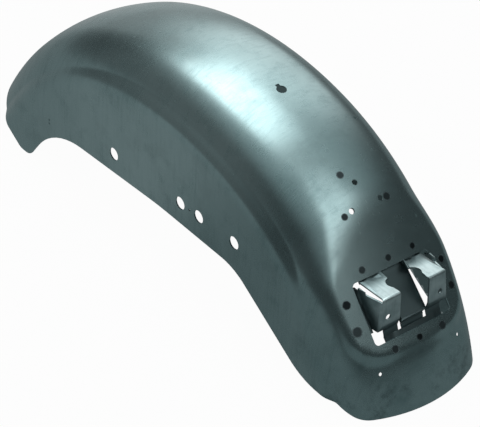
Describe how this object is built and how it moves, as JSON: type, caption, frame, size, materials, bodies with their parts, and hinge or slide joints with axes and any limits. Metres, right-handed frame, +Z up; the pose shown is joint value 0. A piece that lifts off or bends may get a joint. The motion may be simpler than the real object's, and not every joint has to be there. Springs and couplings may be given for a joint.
{
  "type": "motorcycle rear fender",
  "caption": "Pressed steel rear fender for a motorcycle, with rolled skirts, strut holes and a tail lamp bracket in its tail pad.",
  "frame": {"origin": "middle of the overall box, on the ground that the front toes and the tail edge rest on", "axes": "+X rearward, +Y to the right hand side, +Z up"},
  "size_m": [0.7356, 0.2, 0.264],
  "materials": {
    "pressed_steel": "satin",
    "bracket_steel": "satin"
  },
  "bodies": {
    "root": {"fender_shell": "pressed_steel", "tail_lamp_bracket": "bracket_steel", "screw_hole_doubler": "bracket_steel"}
  },
  "joints": []
}
